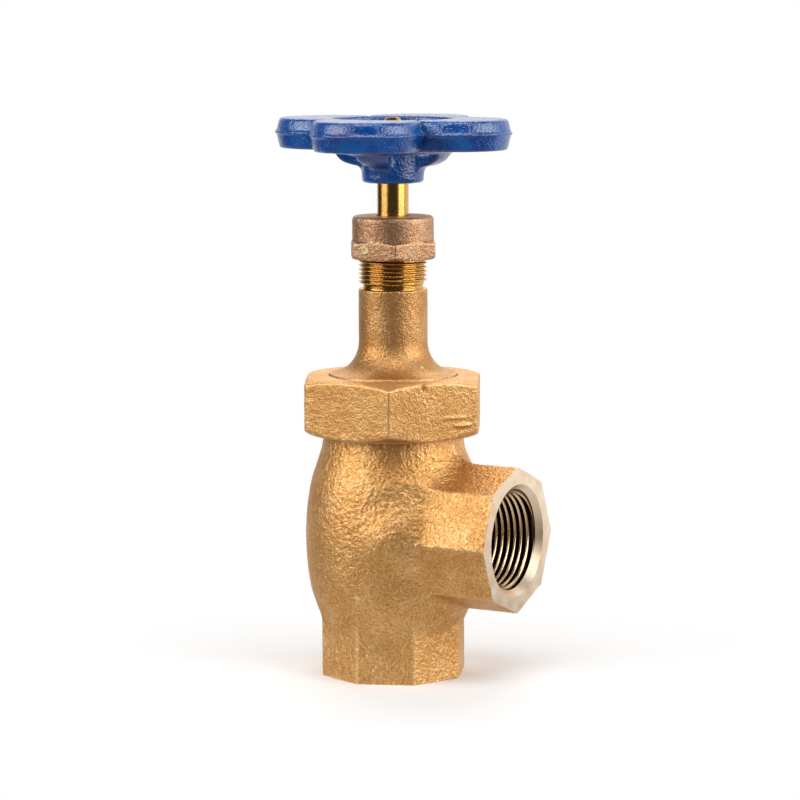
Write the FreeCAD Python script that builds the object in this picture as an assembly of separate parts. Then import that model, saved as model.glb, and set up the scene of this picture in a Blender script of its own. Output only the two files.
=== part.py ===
import FreeCAD, Part
import math
import os

# Angle globe valve with a union bonnet and a rising stem, drawn closed.
# Millimetres. +Z runs up the stem and +X out through the side port.
# The origin is the centre of the lower port's face.
# Screw threads are drawn as plain walls: a male thread and the female thread
# on it at the thread's root, and the pipe threads at the pipe's outside.

# Pipe ports
pipe_thread_radius = 16.5
pipe_thread_length = 16.0
mouth_chamfer_depth = 0.9
mouth_chamfer_width = 0.6
port_throat_length = 4.5

# Body casting
inlet_flats = 44.3
inlet_octagon_root = 23.0
outlet_flats = 43.5
outlet_height = 46.6
outlet_reach = 45.1
outlet_octagon_root = 15.0
octagon_sides = 8
octagon_corner_round = 1.2
globe_radius = 28.3
globe_foot_radius = 21.6
globe_foot_height = 15.5
globe_lower_fall = 1.1
globe_shoulder_width = 1.7
globe_shoulder_height = 7.0
globe_wall = 4.2
chamber_floor_inset = 3.0
neck_radius = 22.5
neck_length = 13.0
neck_top_height = 90.0
neck_edge = 0.8
neck_bore_radius = 18.0
seat_height = 31.0
seat_bore_radius = 12.7
seat_rim_radius = 15.6
seat_rim_height = 3.0
side_passage_radius = 13.5

# Union nut
union_nut_flats = 55.2
union_nut_length = 18.5
union_nut_lip = 3.0
union_nut_corner_round = 1.2
union_nut_top_fall = 1.7
union_nut_bottom_fall = 2.4
union_nut_mouth_chamfer = 1.0
union_nut_turn = 56.7

# Bonnet
collar_thickness = 4.0
bonnet_foot_radius = 20.5
bonnet_foot_rise = 0.7
bonnet_flare_height = 10.3
flare_roundness = 0.55
bonnet_neck_radius = 11.05
bonnet_neck_length = 27.3
bonnet_neck_edge = 0.4
bonnet_spigot_length = 12.0
bonnet_web_fall = 4.0
bonnet_hub_radius = 11.0
bonnet_bore_rise = 1.0
bonnet_bore_slope = 1.0
relief_groove_radius = 9.7
relief_groove_length = 1.5
relief_groove_slope = 0.3
bonnet_thread_radius = 9.98
bonnet_thread_length = 16.7
back_seat_above_neck = 2.4
stem_chamber_radius = 7.0
stuffing_box_radius = 8.2

# Packing and its nut
packing_ring_count = 5
packing_ring_height = 3.0
gland_height = 5.0
gland_flange_height = 1.2
gland_flange_radius = 9.5
packing_nut_radius = 13.05
packing_nut_length = 13.8
packing_nut_roof = 3.2
packing_nut_flats = 26.3
packing_nut_hex_length = 5.8
packing_nut_bottom_fall = 1.0
packing_nut_top_fall = 0.5
packing_nut_edge_round = 1.3
packing_nut_mouth_chamfer = 0.8
packing_nut_turn = 2.9

# Stem
stem_radius = 5.05
stem_thread_radius = 6.3
stem_thread_foot_gap = 0.73
stem_thread_run_in = 1.7
stem_thread_lead = 2.54
stem_turns = 3.0
stem_groove_radius = 4.6
stem_button_radius = 7.2
stem_button_height = 3.6
stem_exposed_length = 10.5
stem_square_flats = 7.4
stem_square_turn = 45.0
stem_edge = 0.6
stem_end_radius = 3.2
stem_end_projection = 1.9
stem_tip_edge = 1.4

# Handwheel
wheel_lobe_count = 4
wheel_lobe_centre = 21.7
wheel_lobe_radius = 17.8
wheel_lobe_turn = 6.7
rim_above_hub_foot = 11.1
rim_ridge_rise = 4.9
rim_thickness = 9.5
rim_hole_radius = 19.0
rim_upper_draft = 1.0
rim_lower_draft = 0.5
rim_edge_round = 1.5
hub_radius = 9.9
hub_height = 11.9
hub_edge_round = 1.2
hub_top_edge = 1.0
dish_depth = 6.6
dish_rim_rise = 2.6
dish_floor_radius = 16.6
dish_floor_rise = 2.0
dish_knee_radius = 19.7
dish_knee_rise = 5.0
rim_overlap = 1.6
dish_thickness = 3.6
dish_upper_inset = 1.2
spoke_hub_width = 7.4
spoke_rim_width = 14.0
window_inner_radius = 12.4
window_outer_radius = 24.5
window_corner_round = 1.2

# Nut and washer on the wheel
wheel_washer_radius = 8.0
wheel_washer_thickness = 1.4
wheel_nut_flats = 12.7
wheel_nut_height = 5.6
nut_chamfer_inset = 0.2
nut_chamfer_slope = 0.5

# Disc that closes on the seat
disc_radius = 15.4
disc_thickness = 3.2
holder_wall = 1.1
holder_plate = 4.0
holder_edge = 1.5
holder_rim_rise = 0.8
holder_cup_radius = 11.4
holder_cup_height = 17.0
holder_cup_floor = 4.2
holder_stud_radius = 4.3
holder_stud_projection = 0.8
holder_nut_thread_depth = 1.0
holder_nut_flange_height = 2.5
holder_nut_flats = 21.3
disc_washer_radius = 9.5
disc_washer_thickness = 1.3
disc_nut_flats = 12.7
disc_nut_height = 4.4

# Clearances
running_clearance = 0.05
thread_clearance = 0.07
loose_clearance = 0.3
seat_gap = 0.05
lift_stop_gap = 0.63
tool_overlap = 1.0
tolerance = 0.01

# Heights and radii that follow from the values above
neck_root_height = neck_top_height - neck_length
collar_top_height = neck_top_height + collar_thickness
union_nut_top_height = collar_top_height + union_nut_lip
union_nut_bottom_height = union_nut_top_height - union_nut_length
union_thread_radius = neck_radius + thread_clearance
bonnet_foot_top_height = union_nut_top_height + bonnet_foot_rise
bonnet_neck_top_height = bonnet_foot_top_height + bonnet_neck_length
bonnet_spigot_bottom_height = neck_top_height - bonnet_spigot_length
back_seat_height = neck_top_height + back_seat_above_neck
bonnet_top_height = bonnet_neck_top_height + relief_groove_length + bonnet_thread_length
packing_top_height = bonnet_neck_top_height + packing_ring_count * packing_ring_height
roof_height = packing_top_height + gland_height
packing_nut_top_height = roof_height + packing_nut_roof
packing_nut_bottom_height = packing_nut_top_height - packing_nut_length
hub_bottom_height = packing_nut_top_height + stem_exposed_length
hub_top_height = hub_bottom_height + hub_height
rim_bottom_height = hub_bottom_height + rim_above_hub_foot
rim_ridge_height = rim_bottom_height + rim_ridge_rise
rim_top_height = rim_bottom_height + rim_thickness
wheel_nut_bottom_height = hub_top_height + wheel_washer_thickness
wheel_nut_top_height = wheel_nut_bottom_height + wheel_nut_height
stem_end_height = wheel_nut_top_height + stem_end_projection
disc_bottom_height = seat_height + seat_gap
disc_top_height = disc_bottom_height + disc_thickness
cup_floor_height = disc_top_height + holder_cup_floor
cup_top_height = disc_top_height + holder_cup_height
button_bottom_height = cup_floor_height + running_clearance
button_top_height = button_bottom_height + stem_button_height
holder_nut_bottom_height = button_top_height + running_clearance
holder_nut_top_height = cup_top_height + holder_nut_flange_height
disc_washer_bottom_height = disc_bottom_height - disc_washer_thickness
disc_nut_bottom_height = disc_washer_bottom_height - disc_nut_height
stem_lift = stem_thread_lead * stem_turns
back_seat_rise = stem_thread_radius - stem_radius
stem_thread_top_height = back_seat_height - stem_lift - loose_clearance
stem_thread_bottom_height = holder_nut_top_height + stem_thread_foot_gap
bonnet_hub_bottom_height = holder_nut_top_height + stem_lift + lift_stop_gap


def point(radius, height):
    """A point of a turned outline, in the XZ plane."""
    return FreeCAD.Vector(radius, 0, height)


def straight_edges(points):
    return [Part.makeLine(start, end) for start, end in zip(points, points[1:])]


def turned_edges(edges):
    """Solid turned about Z from the edges of a closed outline."""
    outline = Part.Wire(Part.__sortEdges__(edges))
    return Part.Face(outline).revolve(FreeCAD.Vector(0, 0, 0), FreeCAD.Vector(0, 0, 1), 360)


def turned(*outline):
    """Solid turned about Z from (radius, height) corners."""
    points = [point(radius, height) for radius, height in outline]
    return turned_edges(straight_edges(points + points[:1]))


def cylinder(radius, bottom, top):
    return Part.makeCylinder(radius, top - bottom, FreeCAD.Vector(0, 0, bottom))


def tube(inner_radius, outer_radius, bottom, top):
    return cylinder(outer_radius, bottom, top).cut(cylinder(inner_radius, bottom, top))


def corner_radius(sides, across_flats):
    return across_flats / 2 / math.cos(math.pi / sides)


def polygon_bar(sides, across_flats, bottom, top, turn=0.0):
    """Upright bar with flats. At turn 0 one corner points along +X."""
    radius = corner_radius(sides, across_flats)
    angles = [2 * math.pi * step / sides for step in range(sides)]
    corners = [FreeCAD.Vector(radius * math.cos(a), radius * math.sin(a), bottom) for a in angles]
    bar = Part.Face(Part.makePolygon(corners + corners[:1])).extrude(FreeCAD.Vector(0, 0, top - bottom))
    bar.rotate(FreeCAD.Vector(0, 0, 0), FreeCAD.Vector(0, 0, 1), turn)
    return bar


def upright_edges(shape):
    """Straight edges of a shape that run along Z."""
    straight = [edge for edge in shape.Edges if isinstance(edge.Curve, Part.Line)]
    return [edge for edge in straight if abs(edge.tangentAt(edge.FirstParameter).z) > 1 - tolerance]


def around_axis(shape, count, turn=0.0):
    """Equally spaced copies of a shape about Z."""
    copies = []
    for step in range(count):
        turned_copy = shape.copy()
        turned_copy.rotate(FreeCAD.Vector(0, 0, 0), FreeCAD.Vector(0, 0, 1), turn + 360 * step / count)
        copies.append(turned_copy)
    return copies


def lay_along_outlet(shape):
    """Turn an upright shape so that its Z axis becomes the outlet's axis."""
    laid = shape.copy()
    laid.rotate(FreeCAD.Vector(0, 0, 0), FreeCAD.Vector(0, 1, 0), 90)
    laid.translate(FreeCAD.Vector(0, 0, outlet_height))
    return laid


def arc_middle(start, direction, end):
    """Middle of the arc that leaves start along a direction and reaches end."""
    along = (end - start).normalize()
    across = (direction - along * direction.dot(along)).normalize()
    half_chord = (end - start).Length / 2
    return (start + end) * 0.5 + across * (half_chord * math.tan(direction.getAngle(along) / 2))


def reflected(direction, start, end):
    """Direction in which the arc from start to end arrives, if it left along direction."""
    along = (end - start).normalize()
    return along * (2 * direction.dot(along)) - direction


def globe_side(inset, foot, neck):
    """Edges of the side of the globe, or of its hollow, from foot to neck, smooth at the belly."""
    side = globe_radius - inset
    belly = point(side, outlet_height)
    lower = point(side - globe_lower_fall, (foot.z + outlet_height) / 2)
    shoulder = point(neck.x + globe_shoulder_width, neck.z - globe_shoulder_height)
    down = FreeCAD.Vector(0, 0, -1)
    up = FreeCAD.Vector(0, 0, 1)
    into_foot = reflected(down, belly, lower)
    into_neck = reflected(up, belly, shoulder)
    return [Part.Arc(foot, arc_middle(lower, into_foot, foot), lower).toShape(),
            Part.Arc(lower, arc_middle(belly, down, lower), belly).toShape(),
            Part.Arc(belly, arc_middle(belly, up, shoulder), shoulder).toShape(),
            Part.Arc(shoulder, arc_middle(shoulder, into_neck, neck), neck).toShape()]


def octagon_bar(across_flats, bottom, top):
    """Upright octagon with cast, rounded corners, one of them along +X."""
    half_angle = math.pi / octagon_sides
    half_side = across_flats / 2 * math.tan(half_angle)
    set_back = octagon_corner_round * math.tan(half_angle)
    corner_loss = octagon_corner_round * (1 / math.cos(half_angle) - 1)
    tip_radius = corner_radius(octagon_sides, across_flats) - corner_loss
    flat_start = FreeCAD.Vector(across_flats / 2, set_back - half_side, bottom)
    flat_end = FreeCAD.Vector(across_flats / 2, half_side - set_back, bottom)
    tip = FreeCAD.Vector(tip_radius, 0, bottom)
    edges = []
    for step in range(octagon_sides):
        before, corner, after = [FreeCAD.Rotation(FreeCAD.Vector(0, 0, 1),
                                                  360 * (step + shift) / octagon_sides)
                                 for shift in (-0.5, 0, 0.5)]
        rounding = Part.Arc(before.multVec(flat_end), corner.multVec(tip), after.multVec(flat_start))
        edges.append(rounding.toShape())
        edges.append(Part.makeLine(after.multVec(flat_start), after.multVec(flat_end)))
    return Part.Face(Part.Wire(edges)).extrude(FreeCAD.Vector(0, 0, top - bottom))


def body_outside():
    """Globe, threaded neck and the two octagon ends, before it is hollowed."""
    foot = point(globe_foot_radius, globe_foot_height)
    neck = point(neck_radius, neck_root_height)
    rest = [neck,
            point(neck_radius, neck_top_height - neck_edge),
            point(neck_radius - neck_edge, neck_top_height),
            point(0, neck_top_height),
            point(0, globe_foot_height),
            foot]
    globe = turned_edges(globe_side(0, foot, neck) + straight_edges(rest))
    inlet = octagon_bar(inlet_flats, 0, inlet_octagon_root)
    outlet = octagon_bar(outlet_flats, outlet_octagon_root, outlet_reach)
    return globe.fuse([inlet, lay_along_outlet(outlet)]).removeSplitter()


def port_bore(end, length):
    """Threaded mouth of a port, drawn upright with its face at the given end."""
    thread_start = end - mouth_chamfer_depth
    thread_end = thread_start - pipe_thread_length
    return turned((0, end), (pipe_thread_radius + mouth_chamfer_width, end),
                  (pipe_thread_radius, thread_start), (pipe_thread_radius, thread_end),
                  (side_passage_radius, thread_end - port_throat_length / 2),
                  (side_passage_radius, end - length), (0, end - length))


def body():
    floor_height = seat_height - seat_rim_height
    thread_end = mouth_chamfer_depth + pipe_thread_length
    throat_end = thread_end + port_throat_length
    inlet = turned((0, 0), (pipe_thread_radius + mouth_chamfer_width, 0),
                   (pipe_thread_radius, mouth_chamfer_depth), (pipe_thread_radius, thread_end),
                   (seat_bore_radius, throat_end), (seat_bore_radius, seat_height + tool_overlap),
                   (0, seat_height + tool_overlap))
    hollow_radius = globe_radius - globe_wall
    floor_radius = hollow_radius - globe_lower_fall - chamber_floor_inset
    foot = point(floor_radius, floor_height)
    neck = point(neck_bore_radius, neck_root_height)
    chamber_rest = [neck, point(neck_bore_radius, neck_top_height), point(0, neck_top_height),
                    point(0, seat_height), point(seat_rim_radius, seat_height),
                    point(seat_rim_radius, floor_height), foot]
    chamber = turned_edges(globe_side(globe_wall, foot, neck) + straight_edges(chamber_rest))
    side_bore = lay_along_outlet(port_bore(outlet_reach, outlet_reach - hollow_radius / 2))
    return body_outside().cut([inlet, chamber, side_bore])


def bonnet():
    flare_width = bonnet_foot_radius - bonnet_neck_radius
    flare_top = bonnet_foot_top_height + bonnet_flare_height
    flare = Part.BezierCurve()
    flare.setPoles([point(bonnet_foot_radius, bonnet_foot_top_height),
                    point(bonnet_foot_radius - flare_roundness * flare_width, bonnet_foot_top_height),
                    point(bonnet_neck_radius, flare_top - flare_roundness * bonnet_flare_height),
                    point(bonnet_neck_radius, flare_top)])
    thread_bottom = bonnet_neck_top_height + relief_groove_length
    thread_bore = stem_thread_radius + running_clearance
    spigot_radius = neck_bore_radius - loose_clearance
    bore_top = bonnet_spigot_bottom_height + bonnet_bore_rise
    guide_radius = stem_radius + loose_clearance
    upper = [point(bonnet_neck_radius, flare_top),
             point(bonnet_neck_radius, bonnet_neck_top_height - bonnet_neck_edge),
             point(bonnet_neck_radius - bonnet_neck_edge, bonnet_neck_top_height),
             point(relief_groove_radius, bonnet_neck_top_height),
             point(relief_groove_radius, thread_bottom - relief_groove_slope),
             point(bonnet_thread_radius, thread_bottom),
             point(bonnet_thread_radius, bonnet_top_height),
             point(stuffing_box_radius, bonnet_top_height),
             point(stuffing_box_radius, bonnet_neck_top_height),
             point(guide_radius, bonnet_neck_top_height),
             point(guide_radius, back_seat_height + back_seat_rise),
             point(stem_chamber_radius, back_seat_height - loose_clearance),
             point(stem_chamber_radius, bore_top + bonnet_bore_slope),
             point(thread_bore, bore_top),
             point(thread_bore, bonnet_hub_bottom_height),
             point(bonnet_hub_radius, bonnet_hub_bottom_height),
             point(bonnet_hub_radius, bonnet_spigot_bottom_height - bonnet_web_fall),
             point(spigot_radius, bonnet_spigot_bottom_height),
             point(spigot_radius, neck_top_height),
             point(neck_radius - loose_clearance, neck_top_height),
             point(neck_radius - loose_clearance, collar_top_height),
             point(bonnet_foot_radius, collar_top_height),
             point(bonnet_foot_radius, bonnet_foot_top_height)]
    return turned_edges([flare.toShape()] + straight_edges(upper))


def union_nut():
    bottom = union_nut_bottom_height
    top = union_nut_top_height
    flat_radius = union_nut_flats / 2
    corner = corner_radius(6, union_nut_flats)
    hexagon = polygon_bar(6, union_nut_flats, bottom, top, union_nut_turn)
    hexagon = hexagon.makeFillet(union_nut_corner_round, upright_edges(hexagon))
    envelope = turned((0, bottom), (flat_radius, bottom), (corner, bottom + union_nut_bottom_fall),
                      (corner, top - union_nut_top_fall), (flat_radius, top), (0, top))
    foot_hole = cylinder(bonnet_foot_radius + loose_clearance, collar_top_height, top)
    thread = turned((0, bottom), (union_thread_radius + union_nut_mouth_chamfer, bottom),
                    (union_thread_radius, bottom + union_nut_mouth_chamfer),
                    (union_thread_radius, collar_top_height), (0, collar_top_height))
    return hexagon.common(envelope).cut([foot_hole, thread])


def packing_nut():
    bottom = packing_nut_bottom_height
    top = packing_nut_top_height
    hex_top = bottom + packing_nut_hex_length
    corner = corner_radius(6, packing_nut_flats)
    round_part = cylinder(packing_nut_radius, bottom, top)
    round_part = round_part.makeFillet(packing_nut_edge_round, [edge for edge in round_part.Edges
                                                               if edge.BoundBox.ZMin > top - tolerance])
    hexagon = polygon_bar(6, packing_nut_flats, bottom, hex_top, packing_nut_turn)
    envelope = turned((0, bottom), (packing_nut_radius, bottom),
                      (corner, bottom + packing_nut_bottom_fall),
                      (corner, hex_top - packing_nut_top_fall),
                      (packing_nut_radius, hex_top), (0, hex_top))
    thread_radius = bonnet_thread_radius + thread_clearance
    thread = turned((0, bottom), (thread_radius + packing_nut_mouth_chamfer, bottom),
                    (thread_radius, bottom + packing_nut_mouth_chamfer),
                    (thread_radius, roof_height), (0, roof_height))
    stem_hole = cylinder(stem_radius + loose_clearance, roof_height, top)
    return round_part.fuse(hexagon.common(envelope)).removeSplitter().cut([thread, stem_hole])


def packing_gland():
    inner = stem_radius + loose_clearance / 2
    outer = stuffing_box_radius - loose_clearance / 2
    flange_bottom = roof_height - gland_flange_height
    return turned((inner, packing_top_height), (outer, packing_top_height), (outer, flange_bottom),
                  (gland_flange_radius, flange_bottom), (gland_flange_radius, roof_height),
                  (inner, roof_height))


def packing_ring(number):
    """Ring of packing, numbered from the bottom of the stuffing box."""
    bottom = bonnet_neck_top_height + (number - 1) * packing_ring_height
    return tube(stem_radius + running_clearance, stuffing_box_radius - running_clearance,
                bottom, bottom + packing_ring_height)


def stem():
    shoulder = stem_thread_top_height + back_seat_rise
    turned_part = turned((0, button_bottom_height), (stem_button_radius - stem_edge, button_bottom_height),
                         (stem_button_radius, button_bottom_height + stem_edge),
                         (stem_button_radius, button_top_height),
                         (stem_groove_radius, button_top_height),
                         (stem_groove_radius, stem_thread_bottom_height),
                         (stem_thread_radius, stem_thread_bottom_height + stem_thread_run_in),
                         (stem_thread_radius, stem_thread_top_height),
                         (stem_radius, shoulder), (stem_radius, hub_bottom_height),
                         (0, hub_bottom_height))
    square = polygon_bar(4, stem_square_flats, hub_bottom_height, hub_top_height, stem_square_turn)
    square = square.common(cylinder(stem_radius, hub_bottom_height, hub_top_height))
    threaded_end = turned((0, hub_top_height), (stem_end_radius, hub_top_height),
                          (stem_end_radius, stem_end_height - stem_tip_edge),
                          (stem_end_radius - stem_tip_edge, stem_end_height), (0, stem_end_height))
    return turned_part.fuse([square, threaded_end]).removeSplitter()


def wheel_lobe():
    """One lobe of the rim, turned about its own centre, with the parting ridge."""
    top_radius = wheel_lobe_radius - rim_upper_draft
    bottom_radius = wheel_lobe_radius - rim_lower_draft
    lower_start = point(bottom_radius - rim_edge_round, rim_bottom_height)
    lower_end = point(bottom_radius, rim_bottom_height + rim_edge_round)
    ridge = point(wheel_lobe_radius, rim_ridge_height)
    upper_start = point(top_radius, rim_top_height - rim_edge_round)
    upper_end = point(top_radius - rim_edge_round, rim_top_height)
    out = FreeCAD.Vector(1, 0, 0)
    up = FreeCAD.Vector(0, 0, 1)
    lower_round = Part.Arc(lower_start, arc_middle(lower_start, out, lower_end), lower_end)
    upper_round = Part.Arc(upper_start, arc_middle(upper_start, up, upper_end), upper_end)
    flats = straight_edges([lower_end, ridge, upper_start])
    closing = straight_edges([upper_end, point(0, rim_top_height),
                              point(0, rim_bottom_height), lower_start])
    lobe = turned_edges([lower_round.toShape(), *flats, upper_round.toShape(), *closing])
    lobe.translate(FreeCAD.Vector(wheel_lobe_centre, 0, 0))
    return lobe


def dish():
    """Dished web between hub and rim, still without its windows."""
    low = rim_bottom_height - dish_depth
    underside = [point(0, low),
                 point(dish_floor_radius, low + dish_floor_rise),
                 point(dish_knee_radius, low + dish_knee_rise),
                 point(rim_hole_radius + rim_overlap, rim_bottom_height + dish_rim_rise)]
    inward_shift = [0, -dish_upper_inset, -dish_upper_inset, 0]
    upper_side = [spot + point(shift, dish_thickness) for spot, shift in zip(underside, inward_shift)]
    outline = underside + upper_side[::-1]
    return turned_edges(straight_edges(outline + outline[:1]))


def dish_window():
    """Opening between two spokes, which widen from the hub to the rim."""
    half_step = math.pi / wheel_lobe_count
    bottom = hub_bottom_height
    corners = []
    for radius, width in ((window_inner_radius, spoke_hub_width), (window_outer_radius, spoke_rim_width)):
        half_opening = half_step - math.asin(width / 2 / radius)
        corners.append(FreeCAD.Vector(radius * math.cos(half_opening),
                                      radius * math.sin(half_opening), bottom))
    inner, outer = corners
    mirrored = [FreeCAD.Vector(corner.x, -corner.y, corner.z) for corner in (outer, inner)]
    plan = Part.makePolygon([inner, outer] + mirrored + [inner])
    window = Part.Face(plan).extrude(FreeCAD.Vector(0, 0, rim_top_height - bottom))
    return window.makeFillet(window_corner_round, upright_edges(window))


def handwheel():
    lobes = around_axis(wheel_lobe(), wheel_lobe_count, wheel_lobe_turn)
    plate = lobes[0].fuse(lobes[1:])
    rim_hole = turned((0, rim_bottom_height), (rim_hole_radius + rim_edge_round, rim_bottom_height),
                      (rim_hole_radius, rim_bottom_height + rim_edge_round),
                      (rim_hole_radius, rim_top_height - rim_edge_round),
                      (rim_hole_radius + rim_edge_round, rim_top_height), (0, rim_top_height))
    windows = around_axis(dish_window(), wheel_lobe_count, wheel_lobe_turn + 180 / wheel_lobe_count)
    spokes = dish().cut(windows)
    hub = turned((0, hub_bottom_height), (hub_radius - hub_edge_round, hub_bottom_height),
                 (hub_radius, hub_bottom_height + hub_edge_round),
                 (hub_radius, hub_top_height - hub_top_edge),
                 (hub_radius - hub_top_edge, hub_top_height), (0, hub_top_height))
    square_hole = polygon_bar(4, stem_square_flats + 2 * running_clearance, hub_bottom_height,
                              hub_top_height, stem_square_turn)
    wheel = plate.cut(rim_hole).fuse([spokes, hub]).removeSplitter()
    return wheel.cut(square_hole)


def wheel_washer():
    return tube(stem_end_radius + loose_clearance, wheel_washer_radius,
                hub_top_height, wheel_nut_bottom_height)


def chamfered_hexagon(across_flats, bottom, top, chamfer_top=True, chamfer_bottom=True):
    """Small hexagon nut blank with turned corners."""
    inner = across_flats / 2 - nut_chamfer_inset
    outer = corner_radius(6, across_flats) + nut_chamfer_inset
    fall = nut_chamfer_slope * (outer - inner)
    outline = [(0, bottom), (outer, bottom), (outer, top), (0, top)]
    if chamfer_top:
        outline[2:3] = [(outer, top - fall), (inner, top)]
    if chamfer_bottom:
        outline[1:2] = [(inner, bottom), (outer, bottom + fall)]
    envelope = turned(*outline)
    return polygon_bar(6, across_flats, bottom, top).common(envelope)


def wheel_nut():
    bottom = wheel_nut_bottom_height
    top = wheel_nut_top_height
    thread = cylinder(stem_end_radius + thread_clearance, bottom, top)
    return chamfered_hexagon(wheel_nut_flats, bottom, top).cut(thread)


def disc_holder():
    """Cup that swivels on the stem's button, with a recess for the soft disc and a stud."""
    recess_radius = disc_radius + running_clearance
    rim_radius = recess_radius + holder_wall
    rim_bottom = disc_bottom_height + holder_rim_rise
    plate_top = disc_top_height + holder_plate
    cup_bore = stem_button_radius + loose_clearance
    nut_bore = cup_bore + holder_nut_thread_depth
    stud_bottom = disc_nut_bottom_height - holder_stud_projection
    return turned((0, stud_bottom), (holder_stud_radius - stem_edge, stud_bottom),
                  (holder_stud_radius, stud_bottom + stem_edge), (holder_stud_radius, disc_top_height),
                  (recess_radius, disc_top_height), (recess_radius, rim_bottom),
                  (rim_radius, rim_bottom), (rim_radius, plate_top - holder_edge),
                  (rim_radius - holder_edge, plate_top),
                  (holder_cup_radius, plate_top), (holder_cup_radius, cup_top_height),
                  (nut_bore, cup_top_height), (nut_bore, holder_nut_bottom_height),
                  (cup_bore, holder_nut_bottom_height), (cup_bore, cup_floor_height),
                  (0, cup_floor_height))


def disc_holder_nut():
    """Ring nut that keeps the stem's button in the cup."""
    nut_radius = stem_button_radius + loose_clearance + holder_nut_thread_depth - thread_clearance
    bore = stem_groove_radius + loose_clearance
    flange_top = holder_nut_top_height
    sleeve = tube(bore, nut_radius, holder_nut_bottom_height, cup_top_height)
    flange = chamfered_hexagon(holder_nut_flats, cup_top_height, flange_top, True, False)
    return sleeve.fuse(flange.cut(cylinder(bore, cup_top_height, flange_top))).removeSplitter()


def seat_disc():
    return tube(holder_stud_radius + running_clearance, disc_radius, disc_bottom_height, disc_top_height)


def disc_washer():
    return tube(holder_stud_radius + running_clearance, disc_washer_radius,
                disc_washer_bottom_height, disc_bottom_height)


def disc_nut():
    bottom = disc_nut_bottom_height
    top = disc_washer_bottom_height
    thread = cylinder(holder_stud_radius + thread_clearance, bottom, top)
    return chamfered_hexagon(disc_nut_flats, bottom, top, False, True).cut(thread)


def write_parts():
    shapes = {"body": body(), "bonnet": bonnet(), "union_nut": union_nut(),
              "packing_nut": packing_nut(), "packing_gland": packing_gland(),
              "stem": stem(), "handwheel": handwheel(), "wheel_washer": wheel_washer(),
              "wheel_nut": wheel_nut(), "disc_holder": disc_holder(),
              "disc_holder_nut": disc_holder_nut(), "seat_disc": seat_disc(),
              "disc_washer": disc_washer(), "disc_nut": disc_nut()}
    for number in range(1, packing_ring_count + 1):
        shapes["packing_ring_%d" % number] = packing_ring(number)
    os.makedirs("parts", exist_ok=True)
    for name, shape in shapes.items():
        print(name, shape.isValid(), len(shape.Solids), round(shape.Volume, 1))
        shape.exportStep("parts/%s.step" % name)


write_parts()
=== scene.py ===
import bpy
import math
from mathutils import Matrix, Vector


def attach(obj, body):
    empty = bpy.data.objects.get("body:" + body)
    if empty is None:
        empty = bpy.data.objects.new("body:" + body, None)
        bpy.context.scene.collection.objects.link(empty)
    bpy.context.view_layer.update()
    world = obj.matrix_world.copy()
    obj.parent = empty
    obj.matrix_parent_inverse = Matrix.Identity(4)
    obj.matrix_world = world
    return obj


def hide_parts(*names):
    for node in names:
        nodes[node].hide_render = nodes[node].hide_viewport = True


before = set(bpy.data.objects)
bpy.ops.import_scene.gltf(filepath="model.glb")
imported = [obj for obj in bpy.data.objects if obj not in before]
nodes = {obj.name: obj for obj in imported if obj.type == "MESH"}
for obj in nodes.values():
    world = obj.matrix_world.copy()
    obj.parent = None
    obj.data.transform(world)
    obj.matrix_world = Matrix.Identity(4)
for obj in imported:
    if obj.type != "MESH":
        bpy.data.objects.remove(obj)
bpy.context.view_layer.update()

# Camera: a long lens a little above the handwheel, far enough away that the valve is
# drawn almost without perspective, with the side port turned to the right.
mm = 0.001
camera_angle = math.radians(29.38)
camera_rise = math.radians(7.36)
camera_distance = 1030 * mm
camera_roll = math.radians(-0.10)
aim_height = 88.7 * mm
aim_shift = 2.155 * mm

to_right = Vector((math.cos(camera_angle), math.sin(camera_angle), 0))
to_camera = Vector((math.sin(camera_angle) * math.cos(camera_rise),
                    -math.cos(camera_angle) * math.cos(camera_rise), math.sin(camera_rise)))
camera = bpy.data.objects.new("camera", bpy.data.cameras.new("camera"))
camera.data.lens = 144
camera.data.sensor_width = 36
camera.data.clip_start = 0.1
camera.location = Vector((0, 0, aim_height)) + to_right * aim_shift + to_camera * camera_distance
camera.rotation_mode = "QUATERNION"
camera.rotation_quaternion = ((-to_camera).to_track_quat("-Z", "Y")
                              @ Matrix.Rotation(camera_roll, 4, "Z").to_quaternion())
bpy.context.scene.collection.objects.link(camera)
bpy.context.scene.camera = camera

# Sizes of the ports, the neck and the stem's bore, in millimetres. Heights count from
# the lower port's face, and the outlet's face from the stem's axis. The ports' wall and
# the stem's bore are radii.
outlet_height = 46.6
outlet_face = 45.1
neck_top = 90
port_wall = 16.5
pipe_pitch = 2.209
pipe_thread_depth = 1.7
stem_bore = 5.35


# Tools for the shapes. A casting's skin is worked out as a field of distances and
# turned into a mesh, so that every root has its fillet. Its faces, bores and ports
# are then machined out of it with lathe shapes.
class Field:
    """A number that a node tree works out at every point, written as a formula."""

    def __init__(self, tree, socket):
        self.tree = tree
        self.socket = socket

    def math(self, operation, *others):
        node = self.tree.nodes.new("ShaderNodeMath")
        node.operation = operation
        for slot, value in enumerate((self, *others)):
            plug(self.tree, value, node.inputs[slot])
        return Field(self.tree, node.outputs[0])

    def __add__(self, other):
        return self.math("ADD", other)

    def __sub__(self, other):
        return self.math("SUBTRACT", other)

    def __mul__(self, other):
        return self.math("MULTIPLY", other)

    def __truediv__(self, other):
        return self.math("DIVIDE", other)

    def size(self):
        return self.math("ABSOLUTE")

    def at_least(self, low):
        return self.math("MAXIMUM", low)

    def between(self, low, high):
        return self.math("MAXIMUM", low).math("MINIMUM", high)

    def join(self, other, blend=0.0):
        """Nearer of two solids, with a cast fillet in the root between them."""
        return self.math("SMOOTH_MIN", other, blend) if blend else self.math("MINIMUM", other)

    def keep(self, other, blend=0.0):
        """What two solids share, with a rounded edge."""
        return self.math("SMOOTH_MAX", other, blend) if blend else self.math("MAXIMUM", other)


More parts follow.
